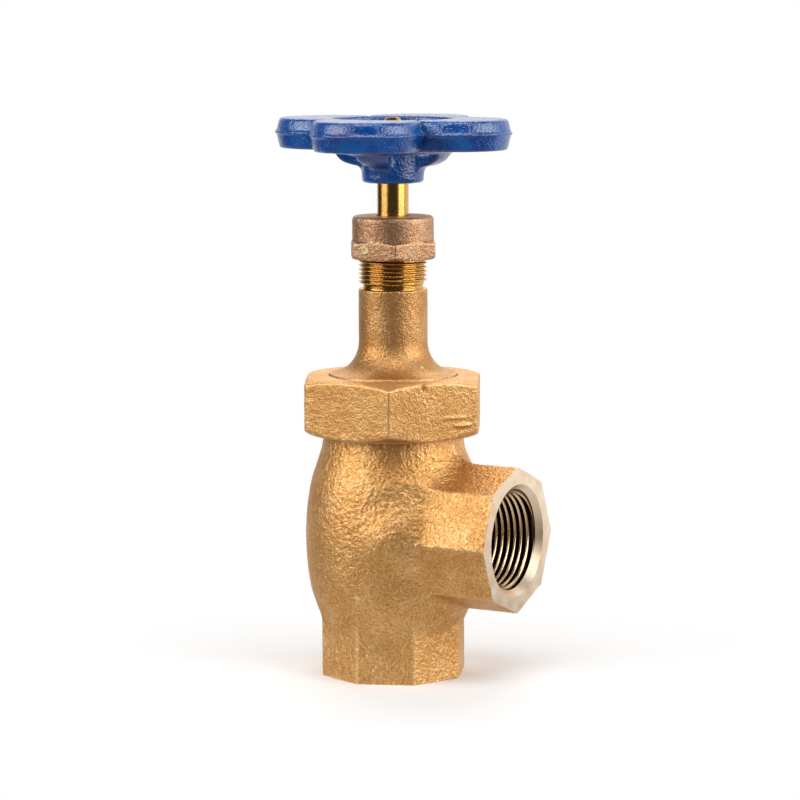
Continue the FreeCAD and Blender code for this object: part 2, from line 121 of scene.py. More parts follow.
def plug(tree, value, socket):
    """Give a socket a field's value or a plain number."""
    if isinstance(value, Field):
        tree.links.new(value.socket, socket)
    else:
        socket.default_value = value


def hypot(one, other):
    return (one * one + other * other).math("SQRT")


def new_tree(name, sizes):
    """Geometry tree with named sizes, in millimetres, and its group input."""
    tree = bpy.data.node_groups.new(name, "GeometryNodeTree")
    for label, value in sizes.items():
        socket = tree.interface.new_socket(label, in_out="INPUT", socket_type="NodeSocketFloat")
        socket.default_value = value
    tree.interface.new_socket("Piece", in_out="OUTPUT", socket_type="NodeSocketGeometry")
    source = tree.nodes.new("NodeGroupInput")
    return tree, {label: Field(tree, source.outputs[label]) for label in sizes}


def place(tree):
    """The three coordinates of the point that the tree is looking at."""
    position = tree.nodes.new("GeometryNodeInputPosition")
    parts = tree.nodes.new("ShaderNodeSeparateXYZ")
    tree.links.new(position.outputs[0], parts.inputs[0])
    return [Field(tree, output) for output in parts.outputs]


def profile(tree, along, spots):
    """A smooth outline through (place, radius) spots, read at a place along it."""
    low, high = spots[0][0], spots[-1][0]
    small = min(radius for _, radius in spots)
    large = max(radius for _, radius in spots)
    node = tree.nodes.new("ShaderNodeFloatCurve")
    curve = node.mapping.curves[0]
    while len(curve.points) < len(spots):
        curve.points.new(0.5, 0.5)
    for handle, (spot, radius) in zip(curve.points, spots):
        handle.location = ((spot - low) / (high - low), (radius - small) / (large - small))
    node.mapping.update()
    plug(tree, (along - low) / (high - low), node.inputs["Value"])
    return Field(tree, node.outputs[0]) * (large - small) + small


def noise(tree, grain, detail=2.0):
    """Even noise about zero, with grains of the given size in millimetres."""
    node = tree.nodes.new("ShaderNodeTexNoise")
    node.inputs["Scale"].default_value = 1 / grain
    node.inputs["Detail"].default_value = detail
    return Field(tree, node.outputs[0]) - 0.5


def octagon(one, other, flats):
    """Distance to the nearest flat of an octagon bar with corners on both axes."""
    eighth = math.radians(22.5)
    first = one.size() * math.cos(eighth) + other.size() * math.sin(eighth)
    second = one.size() * math.sin(eighth) + other.size() * math.cos(eighth)
    return first.keep(second) - flats * 0.5


def hexagon(x, y, turn, flats):
    """Distance to the nearest flat of a bar, and the place along and across its first flat."""
    turn = math.radians(turn)
    along = x * math.cos(turn) + y * math.sin(turn)
    across = y * math.cos(turn) - x * math.sin(turn)
    soft = hypot(across, 0.3)
    slant = along.size() * math.cos(math.radians(30)) + soft * math.sin(math.radians(30))
    return soft.keep(slant) - flats * 0.5, along, across


def lump(x, y, z, middle, radii):
    """Distance to a rounded lump or dent."""
    shares = [(axis - spot) / radius for axis, spot, radius in zip((x, y, z), middle, radii)]
    return (hypot(hypot(shares[0], shares[1]), shares[2]) - 1.0) * min(radii)


def cast(tree, solid, low, high, pitch, lumps, material):
    """Turn a distance field into a rough cast mesh in metres, and end the tree with it."""
    volume = tree.nodes.new("GeometryNodeVolumeCube")
    plug(tree, solid * -1.0 + 0.5, volume.inputs["Density"])
    volume.inputs["Min"].default_value = low
    volume.inputs["Max"].default_value = high
    for axis, label in enumerate(("Resolution X", "Resolution Y", "Resolution Z")):
        volume.inputs[label].default_value = round((high[axis] - low[axis]) / pitch) + 1
    skin = tree.nodes.new("GeometryNodeVolumeToMesh")
    skin.resolution_mode = "GRID"
    skin.inputs["Threshold"].default_value = 0.5
    tree.links.new(volume.outputs[0], skin.inputs["Volume"])
    normal = tree.nodes.new("GeometryNodeInputNormal")
    offset = tree.nodes.new("ShaderNodeVectorMath")
    offset.operation = "SCALE"
    tree.links.new(normal.outputs[0], offset.inputs[0])
    plug(tree, lumps, offset.inputs["Scale"])
    roughen = tree.nodes.new("GeometryNodeSetPosition")
    tree.links.new(skin.outputs[0], roughen.inputs["Geometry"])
    tree.links.new(offset.outputs[0], roughen.inputs["Offset"])
    finish(tree, roughen.outputs[0], material)


def finish(tree, shape, material):
    """Scale to metres, shade smooth, realize and give the material."""
    to_metres = tree.nodes.new("GeometryNodeTransform")
    to_metres.inputs["Scale"].default_value = (mm, mm, mm)
    smooth = tree.nodes.new("GeometryNodeSetShadeSmooth")
    realize = tree.nodes.new("GeometryNodeRealizeInstances")
    paint = tree.nodes.new("GeometryNodeSetMaterial")
    paint.inputs["Material"].default_value = material
    output = tree.nodes.new("NodeGroupOutput")
    for node in (to_metres, smooth, realize, paint):
        tree.links.new(shape, node.inputs["Geometry"])
        shape = node.outputs["Geometry"]
    tree.links.new(shape, output.inputs[0])


def make(name, tree):
    """Run a tree on an empty object and keep its result as a plain mesh."""
    seed = bpy.data.objects.new(name, bpy.data.meshes.new(name + "_seed"))
    bpy.context.scene.collection.objects.link(seed)
    modifier = seed.modifiers.new("build", "NODES")
    modifier.node_group = tree
    return bake(seed)


def bake(piece):
    """Replace a piece's mesh by what its modifiers make of it, and drop them."""
    depsgraph = bpy.context.evaluated_depsgraph_get()
    mesh = bpy.data.meshes.new_from_object(piece.evaluated_get(depsgraph), depsgraph=depsgraph)
    if mesh.materials[0] is None:
        mesh.materials.pop(index=0)
    piece.modifiers.clear()
    piece.data = mesh
    mesh.name = piece.name
    return piece


def turned(name, outline, material, steps=128, in_outlet=False):
    """Closed lathe shape from (radius, height) corners in millimetres, both ends on the axis.

    It stands on the stem's axis, or lies on the outlet's axis with its top outwards.
    """
    mesh = bpy.data.meshes.new(name)
    ring = outline[1:-1]
    verts = [(0, 0, outline[0][1] * mm), (0, 0, outline[-1][1] * mm)]
    for step in range(steps):
        angle = 2 * math.pi * step / steps
        verts += [(r * mm * math.cos(angle), r * mm * math.sin(angle), z * mm) for r, z in ring]
    faces = []
    for step in range(steps):
        here = 2 + step * len(ring)
        there = 2 + (step + 1) % steps * len(ring)
        faces.append((0, there, here))
        faces += [(here + i, there + i, there + i + 1, here + i + 1) for i in range(len(ring) - 1)]
        faces.append((1, here + len(ring) - 1, there + len(ring) - 1))
    mesh.from_pydata(verts, [], faces)
    if in_outlet:
        mesh.transform(Matrix.Rotation(math.radians(90), 4, "Y"))
        mesh.transform(Matrix.Translation((0, 0, outlet_height * mm)))
    mesh.materials.append(material)
    piece = bpy.data.objects.new(name, mesh)
    bpy.context.scene.collection.objects.link(piece)
    return piece


def facing_cut(low, high):
    """Outline of a disc wide enough to face a casting off between two heights."""
    return [(0, low), (40, low), (40, high), (0, high)]


def machine(piece, tool, operation="DIFFERENCE"):
    """Cut a tool's shape out of a piece, or add it, and throw the tool away."""
    step = piece.modifiers.new("machine", "BOOLEAN")
    step.operation = operation
    step.solver = "MANIFOLD"
    step.material_mode = "TRANSFER"
    step.object = tool
    bake(piece)
    bpy.data.objects.remove(tool)


def helix(tree, size, turns):
    """Right-hand helix on which a section stays upright."""
    coil = tree.nodes.new("GeometryNodeCurveSpiral")
    coil.inputs["Resolution"].default_value = 72
    plug(tree, turns, coil.inputs["Rotations"])
    plug(tree, size["Bottom radius"], coil.inputs["Start Radius"])
    plug(tree, size["Top radius"], coil.inputs["End Radius"])
    plug(tree, size["Length"], coil.inputs["Height"])
    upright = tree.nodes.new("GeometryNodeSetCurveNormal")
    upright.mode = "Z_UP"
    tree.links.new(coil.outputs[0], upright.inputs[0])
    return upright


def ridge_section(tree, size):
    """Section of a thread's ridge, with its foot sunk in the wall and a narrow crest."""
    section = tree.nodes.new("GeometryNodeCurvePrimitiveQuadrilateral")
    section.mode = "POINTS"
    crest = size["Depth"] * -1.0
    half_foot = size["Pitch"] * 0.485
    half_crest = size["Pitch"] * 0.06
    corners = ((size["Sunk"], half_foot * -1.0), (crest, half_crest * -1.0),
               (crest, half_crest), (size["Sunk"], half_foot))
    for number, (out, up) in enumerate(corners):
        joined = tree.nodes.new("ShaderNodeCombineXYZ")
        plug(tree, out, joined.inputs[0])
        plug(tree, up, joined.inputs[1])
        tree.links.new(joined.outputs[0], section.inputs["Point %d" % (number + 1)])
    return section


def screw_thread(name, material, top, bottom_radius, top_radius, length, pitch, depth, sunk):
    """Ridge swept along a right-hand helix, from a height down, with its back in the wall.

    It stands out of the wall by its depth, or into the bore if the depth is negative, and
    runs out over a third of a turn at both ends.
    """
    tree, size = new_tree(name, {"Top radius": top_radius, "Bottom radius": bottom_radius, "Length": length,
                                 "Pitch": pitch, "Depth": depth, "Sunk": sunk, "Top": top})
    turns = size["Length"] / size["Pitch"]
    along = Field(tree, tree.nodes.new("GeometryNodeSplineParameter").outputs["Factor"])
    fade = (along * turns * 3.0).math("MINIMUM", (along * -1.0 + 1.0) * turns * 3.0)
    sweep = tree.nodes.new("GeometryNodeCurveToMesh")
    sweep.inputs["Fill Caps"].default_value = True
    plug(tree, fade.between(0.05, 1.0), sweep.inputs["Scale"])
    tree.links.new(helix(tree, size, turns).outputs[0], sweep.inputs["Curve"])
    tree.links.new(ridge_section(tree, size).outputs[0], sweep.inputs["Profile Curve"])
    lift = tree.nodes.new("GeometryNodeTransform")
    raised = tree.nodes.new("ShaderNodeCombineXYZ")
    plug(tree, size["Top"] - size["Length"], raised.inputs[2])
    tree.links.new(raised.outputs[0], lift.inputs["Translation"])
    tree.links.new(sweep.outputs[0], lift.inputs["Geometry"])
    finish(tree, lift.outputs[0], material)
    return make(name, tree)


# Tools for the finishes. Grains and depths are in millimetres.
def texture(tree, grain, detail=2.0, stretch=(1, 1, 1)):
    """Noise that lies in the metal, with grains of the given size."""
    place_in = tree.nodes.new("ShaderNodeTexCoord")
    scale = tree.nodes.new("ShaderNodeMapping")
    scale.inputs["Scale"].default_value = [share / (grain * mm) for share in stretch]
    node = tree.nodes.new("ShaderNodeTexNoise")
    node.inputs["Scale"].default_value = 1.0
    node.inputs["Detail"].default_value = detail
    tree.links.new(place_in.outputs["Object"], scale.inputs[0])
    tree.links.new(scale.outputs[0], node.inputs["Vector"])
    return Field(tree, node.outputs[0])


def ramp(tree, value, *stops):
    """Colours that follow a value, as (value, colour) stops."""
    node = tree.nodes.new("ShaderNodeValToRGB")
    elements = node.color_ramp.elements
    while len(elements) < len(stops):
        elements.new(0.5)
    for element, (spot, colour) in zip(elements, stops):
        element.position = spot
        element.color = (*colour, 1)
    plug(tree, value, node.inputs[0])
    return Field(tree, node.outputs[0])


def relief(tree, shader, height, depth):
    """Let a height field roughen the surface."""
    node = tree.nodes.new("ShaderNodeBump")
    node.inputs["Distance"].default_value = depth * mm
    plug(tree, height, node.inputs["Height"])
    tree.links.new(node.outputs[0], shader.inputs["Normal"])


def spot_in(tree):
    """The three coordinates of the shaded point, in metres in its object."""
    spot = tree.nodes.new("ShaderNodeSeparateXYZ")
    tree.links.new(tree.nodes.new("ShaderNodeTexCoord").outputs["Object"], spot.inputs[0])
    return [Field(tree, output) for output in spot.outputs]


def new_material(name, metallic):
    material = bpy.data.materials.new(name)
    material.use_nodes = True
    shader = material.node_tree.nodes["Principled BSDF"]
    shader.inputs["Metallic"].default_value = metallic
    return material, material.node_tree, shader


def sand_cast(name, grain, grit, dark, middle, light):
    """Blasted sand casting with its own blotches and grain tone, painted shade in the roots, pits and grain
    hollows, and a painted highlight on convex edge lines and grain tops.
    """
    material, tree, shader = new_material(name, 0.92)
    blotches = texture(tree, 9.0)
    pits = texture(tree, grain * 2.2)
    grains = texture(tree, grain, 2.5)
    specks = texture(tree, grain * 0.5, 1.0)
    # Painted light: pointiness lightens convex edge lines as a painted highlight and darkens roots and pits
    # as painted shade. The grain term also darkens its own hollows and lightens its tops.
    edge_highlight_and_root_shade = Field(tree, tree.nodes.new("ShaderNodeNewGeometry").outputs["Pointiness"]) - 0.5
    shade = blotches * 0.25 + grains * 0.30 + specks * 0.45 + edge_highlight_and_root_shade * 2.5
    colour = ramp(tree, shade, (0.30, dark), (0.50, middle), (0.70, light))
    plug(tree, colour, shader.inputs["Base Color"])
    plug(tree, grains * -0.2 + 0.58, shader.inputs["Roughness"])
    relief(tree, shader, pits * 0.5 + grains * 0.5, grit)
    return material


# Cast bronze: coarse on the body, finer on the union nut, as fine but darker on the
# bonnet, and redder on the packing nut. Each has a dark colour for the painted shade in roots
# and hollows, a skin colour, and a light colour for grain tops and painted edge highlights.
gold_colours = ((0.44, 0.20, 0.06), (0.68, 0.35, 0.11), (0.90, 0.60, 0.30))
dark_colours = ((0.34, 0.15, 0.045), (0.54, 0.27, 0.085), (0.78, 0.51, 0.26))
red_colours = ((0.26, 0.12, 0.06), (0.46, 0.24, 0.12), (0.80, 0.56, 0.36))
sand_bronze = sand_cast("sand_bronze", 0.95, 0.80, *gold_colours)
fine_bronze = sand_cast("fine_bronze", 0.60, 0.34, *gold_colours)
neck_bronze = sand_cast("neck_bronze", 0.60, 0.34, *dark_colours)
cap_bronze = sand_cast("cap_bronze", 0.60, 0.36, *red_colours)

# Milled bronze: pale faces and bores with fine cutter marks.
machined_bronze, tree, shader = new_material("milled_bronze", 1.0)
bloom = texture(tree, 5.0)
colour = ramp(tree, bloom, (0.3, (0.90, 0.65, 0.43)), (0.7, (0.98, 0.84, 0.65)))
plug(tree, colour, shader.inputs["Base Color"])
plug(tree, bloom * 0.2 + 0.28, shader.inputs["Roughness"])
relief(tree, shader, texture(tree, 0.5), 0.05)

# Thread bronze: the outlet's cut thread, bright where the tool ran, with painted shade that
# darkens it towards the roots and to black on the port's wall.
thread_bronze_painted_shade, tree, shader = new_material("thread_bronze_painted_shade", 1.0)
crest_radius = 14.4
_, y, z = spot_in(tree)
root = (hypot(y, z - outlet_height * mm) - crest_radius * mm) / (pipe_thread_depth * mm)
# Painted shade: darker with depth below the crests, near black in the roots and on the port's wall.
colour = ramp(tree, root, (0.45, (0.95, 0.70, 0.42)), (0.72, (0.32, 0.17, 0.08)), (0.95, (0.03, 0.02, 0.02)))
plug(tree, colour, shader.inputs["Base Color"])
shader.inputs["Roughness"].default_value = 0.25

# Bright bronze: turned pieces and the neck, with streaks from the lathe.
turned_bronze, tree, shader = new_material("bright_bronze", 1.0)
streaks = texture(tree, 1.0, 3.0, (1, 1, 5))
colour = ramp(tree, streaks, (0.3, (0.56, 0.30, 0.07)), (0.7, (0.78, 0.47, 0.14)))
plug(tree, colour, shader.inputs["Base Color"])
plug(tree, streaks * 0.2 + 0.08, shader.inputs["Roughness"])
relief(tree, shader, streaks, 0.02)

# Chisel mark: bare cut metal, paler and less metallic than the casting so that it stays bright under any
# light, partly a painted highlight.
bare_cut_and_painted_highlight, tree, shader = new_material("bare_cut_and_painted_highlight", 0.4)
shader.inputs["Base Color"].default_value = (0.95, 0.72, 0.42, 1)
shader.inputs["Roughness"].default_value = 0.4

# Blue gloss: thick enamel over the rough skin of an iron casting.
blue_gloss, tree, shader = new_material("blue_gloss", 0.0)
runs = texture(tree, 5.0)
skin = texture(tree, 0.9, 3.0)
colour = ramp(tree, runs, (0.3, (0.001, 0.036, 0.20)), (0.7, (0.001, 0.085, 0.34)))
plug(tree, colour, shader.inputs["Base Color"])
plug(tree, skin * 0.16, shader.inputs["Roughness"])
shader.inputs["IOR"].default_value = 1.6
shader.inputs["Specular IOR Level"].default_value = 0.7
relief(tree, shader, skin, 0.28)

# Soft white: the plastic disc. Braided packing: dark graphite yarn.
soft_white, tree, shader = new_material("soft_white", 0.0)
haze = texture(tree, 3.0, 3.0)
colour = ramp(tree, haze, (0.3, (0.80, 0.79, 0.74)), (0.7, (0.90, 0.89, 0.86)))
plug(tree, colour, shader.inputs["Base Color"])
plug(tree, haze * 0.2 + 0.4, shader.inputs["Roughness"])
braided, tree, shader = new_material("braided_packing", 0.0)
braid = texture(tree, 0.8)
colour = ramp(tree, braid, (0.4, (0.02, 0.02, 0.02)), (0.6, (0.12, 0.12, 0.12)))
plug(tree, colour, shader.inputs["Base Color"])
plug(tree, braid * 0.4 + 0.4, shader.inputs["Roughness"])
relief(tree, shader, braid, 0.5)

# Body: one sand casting with a globe between two octagon ends that take a wrench. The
# globe swells towards the outlet, and its skin is scabbed by the sand. The outlet's
# rim has a burr where its face was milled.
globe_spots = [(15.5, 21.6), (22.5, 24.9), (31.05, 27.2), (38.8, 28.03), (46.6, 28.3),
               (58.0, 27.35), (70.0, 24.2), (73.4, 23.1), (77.0, 22.5)]
swell_middle = (9.0, 0.0, 47.0)
swell_radii = (21.0, 28.5, 21.0)
body_tree, size = new_tree("cast body", {
    "Inlet flats": 44.3, "Inlet height": 23.0, "Outlet flats": 43.5, "Outlet height": outlet_height,
    "Outlet root": 15.0, "Inlet fillet": 1.8, "Swell fillet": 3.0, "Root fillet": 4.4,
    "Outlet top fillet": 9.0, "Fillet grows from": 6.0, "Fillet grows over": 14.0, "Burr from": 41.0,
    "Burr over": 4.0, "Burr height": 0.9, "Globe edge": 30.0, "Globe bottom": 23.0, "Scabs start over": 4.0,
    "Scab height": 0.34, "Wave height": 0.30, "Grain height": 0.16})
x, y, z = place(body_tree)
globe = hypot(x, y) - profile(body_tree, z, globe_spots)
globe = globe.join(lump(x, y, z, swell_middle, swell_radii), size["Swell fillet"])
inlet = octagon(x, y, size["Inlet flats"]).keep(z - size["Inlet height"])
outlet = octagon(y, z - size["Outlet height"], size["Outlet flats"]).keep(size["Outlet root"] - x)
towards_top = (z - size["Outlet height"] - size["Fillet grows from"]) / size["Fillet grows over"]
growth = (size["Outlet top fillet"] - size["Root fillet"]) * towards_top.between(0.0, 1.0)
body_skin = globe.join(inlet, size["Inlet fillet"]).join(outlet, size["Root fillet"] + growth)
near_face = ((x - size["Burr from"]) / size["Burr over"]).at_least(0.0)
burr = near_face * noise(body_tree, 1.2, 3.0) * size["Burr height"]
above_inlet = (z - size["Globe bottom"]) / size["Scabs start over"]
on_globe = (size["Globe edge"] - hypot(x, y)).math("MINIMUM", above_inlet).between(0.0, 1.0)
scabs = noise(body_tree, 1.7) * on_globe * size["Scab height"]
waves = noise(body_tree, 9.0) * size["Wave height"]
body_lumps = waves + noise(body_tree, 2.2, 3.0) * size["Grain height"] + burr + scabs
cast(body_tree, body_skin, (-32, -32, -2.4), (48, 32, 92.4), 0.6, body_lumps, sand_bronze)
body = make("body_casting", body_tree)

# The body is machined: three faces, the inlet's countersink and bore up to the seat,
# the chamber from the moat round the seat to the neck, and the outlet's bore.
inlet_bore = [(0, -1), (17.7, -1), (port_wall, 0.9), (port_wall, 16.9), (12.7, 21.4), (12.7, 32), (0, 32)]
chamber = [(0, 31), (15.6, 31), (15.6, 28), (20, 28), (22, 33), (23.4, 38), (24.1, 46.6), (23.1, 60),
           (20.6, 70), (18, 77), (18, 91), (0, 91)]
outlet_countersink = [(0, 40.4), (14, 40.4), (18.7, 46.1), (0, 46.1)]
outlet_bore = [(0, 12.05), (13.5, 12.05), (13.5, 25.9), (port_wall, 28.2), (port_wall, 42.8), (0, 42.8)]
for name, outline, material, in_outlet in (
        ("inlet_face", facing_cut(-5, 0), machined_bronze, False),
        ("inlet_bore", inlet_bore, machined_bronze, False),
        ("outlet_face", facing_cut(outlet_face, 52), machined_bronze, True),
        ("outlet_countersink", outlet_countersink, machined_bronze, True),
        ("neck_face", facing_cut(neck_top, 96), machined_bronze, False),
        ("chamber", chamber, machined_bronze, False),
        ("outlet_bore", outlet_bore, thread_bronze_painted_shade, True)):
    machine(body, turned(name, outline, material, 160, in_outlet))
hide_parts("body")
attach(body, "housing")

# Pipe threads: 11.5 to the inch and right-handed, cut into both ports.
outlet_thread = screw_thread("outlet_thread", thread_bronze_painted_shade, 43.2, 16.1, 16.55, 15.2,
                             pipe_pitch, -pipe_thread_depth, -0.7)
outlet_thread.data.transform(Matrix.Translation((0, 0, outlet_height * mm))
                             @ Matrix.Rotation(math.radians(90), 4, "Y"))
inlet_thread = screw_thread("inlet_thread", machined_bronze, 17.0, 16.55, 16.1, 16.0,
                            pipe_pitch, -pipe_thread_depth, -0.7)
for thread in (outlet_thread, inlet_thread):
    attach(thread, "housing")

# Union nut: cast hexagon with turned chamfers. It screws down over the body's neck
# and clamps the bonnet's collar. It keeps its foundry scars: a notch in the top edge,
# two ridges on one flat and a burr under a corner. Places count along and across a flat.
nut_turn = 56.7
notch_middle = (-3.2, -28.0, 97.0)
notch_radii = (0.8, 2.0, 2.9)
nut_scars = [((10.3, -27.4, 83.2), (3.6, 0.8, 0.55), 0.3), ((7.6, -27.4, 85.7), (5.0, 0.5, 0.40), 0.4),
             ((-24.2, -13.2, 79.1), (1.2, 1.3, 0.7), 0.6)]
nut_tree, size = new_tree("cast union nut", {
    "Flats": 55.2, "Bottom": 78.5, "Top": 97.0, "Top slope": 0.398, "Bottom slope": 0.562, "Edge": 0.4})
x, y, z = place(nut_tree)
flats, along, across = hexagon(x, y, nut_turn, size["Flats"])
past_flats = (hypot(x, y) - size["Flats"] * 0.5).at_least(0.0)
top_side = z - size["Top"] + past_flats * size["Top slope"]
bottom_side = size["Bottom"] - z + past_flats * size["Bottom slope"]
nut_skin = flats.keep(top_side, size["Edge"]).keep(bottom_side, size["Edge"])
nut_skin = nut_skin.keep(lump(along, across, z, notch_middle, notch_radii) * -1.0, 0.2)
for middle, radii, blend in nut_scars:
    nut_skin = nut_skin.join(lump(along, across, z, middle, radii), blend)
nut_lumps = noise(nut_tree, 5.0) * 0.22 + noise(nut_tree, 1.4, 3.0) * 0.16
cast(nut_tree, nut_skin, (-34, -34, 77), (34, 34, 98.5), 0.45, nut_lumps, fine_bronze)
union_nut = make("union_nut_casting", nut_tree)
nut_lip = [(0, 77.8), (23.9, 77.8), (24.3, 78.2), (24.3, 79), (0, 79)]
nut_bore = [(0, 77), (23.57, 77), (23.57, 78.5), (22.57, 79.5), (22.57, 94), (20.8, 94), (20.8, 99), (0, 99)]
machine(union_nut, turned("union_nut_lip", nut_lip, machined_bronze, 160), "UNION")
machine(union_nut, turned("union_nut_bore", nut_bore, machined_bronze, 160))
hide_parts("union_nut")
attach(union_nut, "housing")

# Bonnet: cast stem housing that flares out to the collar under the union nut. Its
# neck is turned down and threaded for the packing nut.
bonnet_tree, size = new_tree("cast bonnet", {
    "Foot radius": 20.5, "Foot top": 97.7, "Foot bottom": 92.0, "Flare": 10.3, "Flare spread": 9.8,
    "Neck radius": 11.05, "Neck end": 144.0, "Collar": 22.2, "Spigot": 17.7, "Hub": 11.0, "Hub fillet": 5.0})
x, y, z = place(bonnet_tree)
out = hypot(x, y)


def drum(radius, low, high):
    """Distance to an upright cylinder on the stem's axis."""
    return (out - radius).keep((z - low) * -1.0).keep(z - high)


inwards = ((size["Foot radius"] - out) / (size["Foot radius"] - size["Neck radius"])).at_least(0.0)
upwards = ((size["Foot top"] + size["Flare"] - z) / size["Flare"]).at_least(0.0)
flare = (hypot(inwards, upwards) * -1.0 + 1.0) * size["Flare spread"]
flare = flare.keep(out - size["Foot radius"], 0.5).keep(size["Foot bottom"] - z).keep(z - size["Neck end"])
bonnet_skin = flare.join(drum(size["Collar"], 90.0, 94.0)).join(drum(size["Spigot"], 78.0, 91.0))
bonnet_skin = bonnet_skin.join(drum(size["Hub"], 62.0, 79.0), size["Hub fillet"])
bonnet_lumps = noise(bonnet_tree, 4.0) * 0.20 + noise(bonnet_tree, 1.4, 3.0) * 0.12
cast(bonnet_tree, bonnet_skin, (-24, -24, 60), (24, 24, 146), 0.5, bonnet_lumps, neck_bronze)
bonnet = make("bonnet_casting", bonnet_tree)
neck_cut = [(0, 143.2), (9.98, 143.2), (9.98, 126.5), (9.7, 126.2), (9.7, 125), (10.65, 125), (11.05, 124.6),
            (14, 124.6), (14, 150), (0, 150)]
bonnet_bore = [(0, 60), (6.35, 60), (6.35, 79), (7, 80), (7, 92.1), (stem_bore, 93.65), (stem_bore, 125),
               (8.2, 125), (8.2, 145), (0, 145)]
machine(bonnet, turned("bonnet_neck_cut", neck_cut, turned_bronze))
machine(bonnet, turned("bonnet_bore", bonnet_bore, turned_bronze, 96))
neck_thread = screw_thread("neck_thread", turned_bronze, 134.6, 9.95, 9.95, 8.1, 1.34, 1.05, 0.15)
for piece in (bonnet, neck_thread):
    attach(piece, "housing")
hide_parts("bonnet")


# Packing nut: cast cap in a redder bronze, with a low hexagon, that presses the
# gland on the packing. One flat still has the mark of a chisel.
def gouge(piece, turn, middle, lean, length):
    """Cut a chisel mark, pale with bare metal and a painted highlight, leaning in the plane of a flat, into a
    piece.
    """
    tool = turned("gouge", [(0, -length), (1.45, 0), (0, length)], bare_cut_and_painted_highlight, 12)
    tool.data.transform(Matrix.Rotation(math.radians(turn), 4, "Z") @ Matrix.Translation(Vector(middle) * mm)
                        @ Matrix.Rotation(math.radians(lean), 4, "Y"))
    machine(piece, tool)


cap_turn = 2.9
cap_tree, size = new_tree("cast packing nut", {
    "Radius": 13.05, "Flats": 26.3, "Bottom": 134.4, "Top": 148.2, "Hexagon height": 5.8, "Top edge": 2.2,
    "Edge": 0.4, "Top slope": 0.24, "Bottom slope": 0.47})
x, y, z = place(cap_tree)
out = hypot(x, y)
flats, _, _ = hexagon(x, y, cap_turn, size["Flats"])
outer = (out - size["Radius"]).at_least(0.0)
cap = (out - size["Radius"]).keep(z - size["Top"], size["Top edge"])
hexagon_top = z - size["Bottom"] - size["Hexagon height"] + outer * size["Top slope"]
cap_skin = cap.join(flats.keep(hexagon_top, size["Edge"]), size["Edge"])
cap_skin = cap_skin.keep(size["Bottom"] - z + outer * size["Bottom slope"], size["Edge"])
cap_lumps = noise(cap_tree, 3.0) * 0.16 + noise(cap_tree, 0.9, 3.0) * 0.14
cast(cap_tree, cap_skin, (-16, -16, 133), (16, 16, 149.5), 0.32, cap_lumps, cap_bronze)
packing_nut = make("packing_nut_casting", cap_tree)
cap_bore = [(0, 133), (10.85, 133), (10.85, 134.4), (10.05, 135.2), (10.05, 145), (stem_bore, 145),
            (stem_bore, 150), (0, 150)]
machine(packing_nut, turned("packing_nut_bore", cap_bore, turned_bronze, 96))
gouge(packing_nut, cap_turn, (-3.3, -13.9, 137.9), 40, 2.8)
gouge(packing_nut, cap_turn, (-4.3, -13.9, 139.0), -25, 2.2)
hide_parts("packing_nut")
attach(packing_nut, "housing")

# Handwheel: iron casting with four lobes for the fingers, a parting ridge round its
# edge and a bowl on four spokes. Each quarter is worked out as if its lobe lay on X.
lobe_turn = 6.7
lobe_step = 90
bowl_spots = [(0, 165.0), (11, 165.7), (15.6, 166.8), (19.0, 170.2), (21.0, 174.0)]
wheel_tree, size = new_tree("cast handwheel", {
    "Lobe centre": 21.7, "Lobe radius": 17.5, "Rim bottom": 169.45, "Ridge": 174.7, "Rim top": 179.3,
    "Ridge height": 0.40, "Draft above": 1.1, "Draft below": 1.2, "Rim edge": 2.0, "Rim bottom edge": 1.4,
    "Rim hole": 19.0, "Hub radius": 9.9, "Hub bottom": 158.7, "Hub top": 170.6, "Web": 3.6, "Root": 3.5,
    "Web edge": 21.0, "Web ring": 18.9, "Spoke": 3.8, "Spoke from": 12.4, "Spoke spread": 0.27})
x, y, z = place(wheel_tree)
out = hypot(x, y)
turn = y.math("ARCTAN2", x) - math.radians(lobe_turn - lobe_step / 2)
quarter = (turn / math.radians(lobe_step)).math("FLOOR") * math.radians(lobe_step)
turn = turn - quarter - math.radians(lobe_step / 2)
along = out * turn.math("COSINE")
across = out * turn.math("SINE")
above = (z - size["Ridge"]).at_least(0.0) / (size["Rim top"] - size["Ridge"])
below = (size["Ridge"] - z).at_least(0.0) / (size["Ridge"] - size["Rim bottom"])
ridge = ((z - size["Ridge"]).size() * -1.3 + 1.0).at_least(0.0) * size["Ridge height"]
edge = size["Lobe radius"] + ridge - above * size["Draft above"] - below * size["Draft below"]
plate = hypot(along - size["Lobe centre"], across) - edge
rim = plate.keep(z - size["Rim top"], size["Rim edge"]).keep(size["Rim bottom"] - z, size["Rim bottom edge"])
rim = rim.keep(size["Rim hole"] - out, size["Rim edge"])
bowl = ((z - profile(wheel_tree, out, bowl_spots)).size() - size["Web"] * 0.5) * 0.8
bowl = bowl.keep(out - size["Web edge"])
spoke = across.size() - (out - size["Spoke from"]) * size["Spoke spread"] - size["Spoke"]
spokes = bowl.keep(spoke, 1.6).join(bowl.keep(size["Web ring"] - out, 0.8))
hub = (out - size["Hub radius"]).keep(z - size["Hub top"], 1.8).keep(size["Hub bottom"] - z, 2.2)
wheel_skin = rim.join(spokes, size["Root"]).join(hub, size["Root"])
wheel_lumps = noise(wheel_tree, 5.0) * 0.18 + noise(wheel_tree, 1.2) * 0.10
cast(wheel_tree, wheel_skin, (-40, -40, 157), (40, 40, 181), 0.42, wheel_lumps, blue_gloss)
handwheel = make("handwheel_casting", wheel_tree)
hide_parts("handwheel")
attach(handwheel, "spindle")

